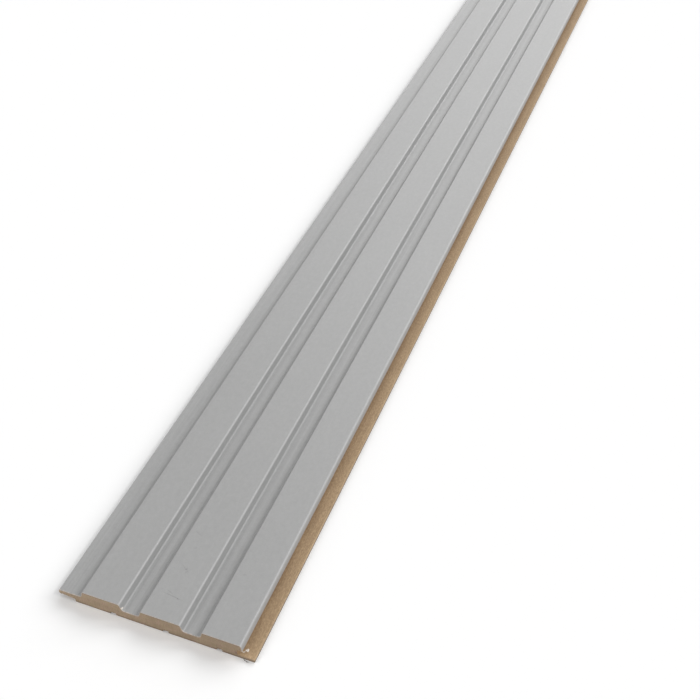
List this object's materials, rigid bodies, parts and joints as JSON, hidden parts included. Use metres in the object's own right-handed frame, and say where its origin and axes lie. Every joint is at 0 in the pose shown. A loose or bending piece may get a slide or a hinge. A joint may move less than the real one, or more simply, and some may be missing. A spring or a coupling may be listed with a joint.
{
  "type": "mdf wall panel",
  "caption": "Long tongue and groove MDF wall panel with raised flat slats, ogee-edged grooves, a lipped ledge, a grey face and a bare brown back and ends.",
  "frame": {"origin": "on the back, at the middle of the length and of the overall width, tongue included", "axes": "+Y along the board, +Z out of the face, +X across the board from the tongue to the ledge"},
  "size_m": [0.131, 2.7, 0.012],
  "materials": {
    "painted_mdf": "semi-gloss mid-grey coat on the face, over fine brown fibreboard",
    "bare_mdf": "bare sawn fibreboard, dull brown"
  },
  "bodies": {
    "root": {"wall_panel": "painted_mdf"}
  },
  "joints": []
}
